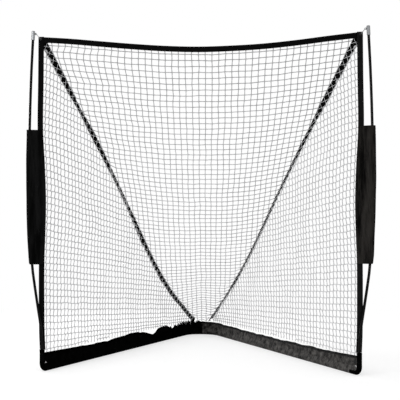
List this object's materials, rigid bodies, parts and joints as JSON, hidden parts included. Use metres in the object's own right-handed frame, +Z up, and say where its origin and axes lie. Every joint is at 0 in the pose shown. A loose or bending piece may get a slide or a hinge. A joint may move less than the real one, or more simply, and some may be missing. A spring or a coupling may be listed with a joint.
{
  "type": "lacrosse goal",
  "caption": "Portable lacrosse goal: a V-shaped tube base in a cloth skirt, with bowed poles in sleeves that hold up a sloping square-mesh net.",
  "frame": {"origin": "on the ground under the middle of the whole goal", "axes": "+X to the right for someone who faces the mouth, +Y into the goal towards the rear bend, +Z up"},
  "size_m": [1.992, 1.9799, 1.9677],
  "materials": {
    "tube_paint": "black powder coat",
    "button_steel": "plated, domed",
    "spring_steel": "plain spring steel",
    "bush_plastic": "moulded, slightly rough",
    "fibreglass": "pultruded, glossy black",
    "cap_steel": "polished steel",
    "plug_plastic": "matte",
    "link_steel": "dull plated wire",
    "eyelet_steel": "plated",
    "net_twine": "white knotless twine",
    "border_webbing": "black woven webbing",
    "strap_webbing": "black woven webbing",
    "sleeve_cloth": "black coated cloth with soft folds",
    "skirt_cloth": "black coated cloth with creases"
  },
  "bodies": {
    "goal": {"rear_bend_tube": "tube_paint", "top_border": "border_webbing", "net_back": "net_twine", "front_tube_left": "tube_paint", "mid_tube_left": "tube_paint", "stake_eyelet_left": "eyelet_steel", "skirt_left": "skirt_cloth", "spring_clip_front_left": "spring_steel", "spring_clip_rear_left": "spring_steel", "socket_bush_left": "bush_plastic", "pole_lower_left": "fibreglass", "pole_upper_left": "fibreglass", "pole_ferrule_left": "spring_steel", "tip_cap_left": "cap_steel", "tip_plug_left": "plug_plastic", "corner_link_left": "link_steel", "corner_eyelet_left": "eyelet_steel", "side_border_left": "border_webbing", "pole_sleeve_left": "sleeve_cloth", "seam_strap_left": "strap_webbing", "net_side_left": "net_twine", "front_tube_right": "tube_paint", "mid_tube_right": "tube_paint", "stake_eyelet_right": "eyelet_steel", "skirt_right": "skirt_cloth", "spring_clip_front_right": "spring_steel", "spring_clip_rear_right": "spring_steel", "socket_bush_right": "bush_plastic", "pole_lower_right": "fibreglass", "pole_upper_right": "fibreglass", "pole_ferrule_right": "spring_steel", "tip_cap_right": "cap_steel", "tip_plug_right": "plug_plastic", "corner_link_right": "link_steel", "corner_eyelet_right": "eyelet_steel", "side_border_right": "border_webbing", "pole_sleeve_right": "sleeve_cloth", "seam_strap_right": "strap_webbing", "net_side_right": "net_twine"},
    "button_front_left": {"snap_button_front_left": "button_steel"},
    "button_rear_left": {"snap_button_rear_left": "button_steel"},
    "button_front_right": {"snap_button_front_right": "button_steel"},
    "button_rear_right": {"snap_button_rear_right": "button_steel"}
  },
  "joints": [
    {"name": "press_front_left", "type": "slide", "parent": "goal", "child": "button_front_left", "axis": [0, 0, -1], "range_m": [0, 0.006], "stiffness_N_per_m": 400, "springref_m": -0.003},
    {"name": "press_rear_left", "type": "slide", "parent": "goal", "child": "button_rear_left", "axis": [0, 0, -1], "range_m": [0, 0.006], "stiffness_N_per_m": 400, "springref_m": -0.003},
    {"name": "press_front_right", "type": "slide", "parent": "goal", "child": "button_front_right", "axis": [0, 0, -1], "range_m": [0, 0.006], "stiffness_N_per_m": 400, "springref_m": -0.003},
    {"name": "press_rear_right", "type": "slide", "parent": "goal", "child": "button_rear_right", "axis": [0, 0, -1], "range_m": [0, 0.006], "stiffness_N_per_m": 400, "springref_m": -0.003}
  ]
}
